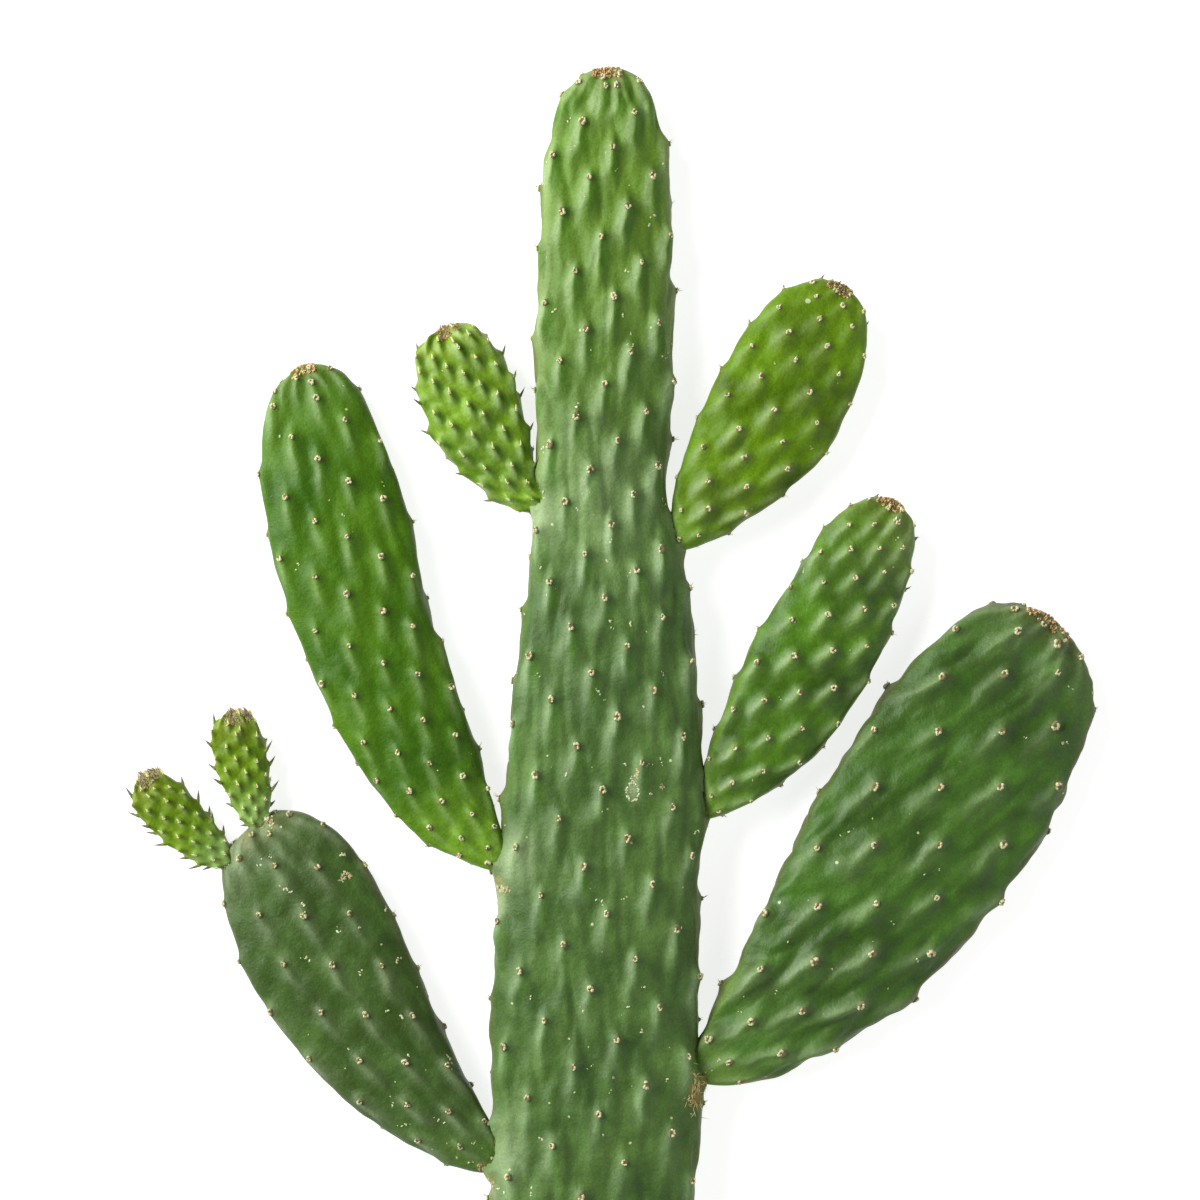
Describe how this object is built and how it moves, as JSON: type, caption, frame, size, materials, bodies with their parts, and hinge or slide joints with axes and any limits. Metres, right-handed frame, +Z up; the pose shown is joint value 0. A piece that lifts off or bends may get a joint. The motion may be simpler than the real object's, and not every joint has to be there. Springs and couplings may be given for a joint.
{
  "type": "prickly pear cutting",
  "caption": "Branched prickly pear cutting lying flat: a thick flattened stem carrying oval side pads and young buds, with ridged skin and short spines.",
  "frame": {"origin": "on the surface that the cutting lies on, under the middle of its bounding box", "axes": "+Z up from the surface, +Y along the stem from its cut end to its growing tip, +X to the stem's right"},
  "size_m": [0.4496, 0.5438, 0.0387],
  "materials": {
    "stem_skin": "glaucous green skin with a wax bloom",
    "old_pad_skin": "dull dark green skin with a wax bloom and corky flecks",
    "grown_pad_skin": "satin mid green skin",
    "young_pad_skin": "fresh yellow-green skin, slightly glossy",
    "bud_skin": "bright yellow-green new growth, slightly glossy"
  },
  "bodies": {
    "root": {"stem": "stem_skin", "pad_left_low": "old_pad_skin", "pad_left_long": "grown_pad_skin", "pad_left_small": "young_pad_skin", "pad_right_low": "old_pad_skin", "pad_right_middle": "grown_pad_skin", "pad_right_upper": "young_pad_skin", "bud_left_outer": "bud_skin", "bud_left_inner": "bud_skin"}
  },
  "joints": []
}
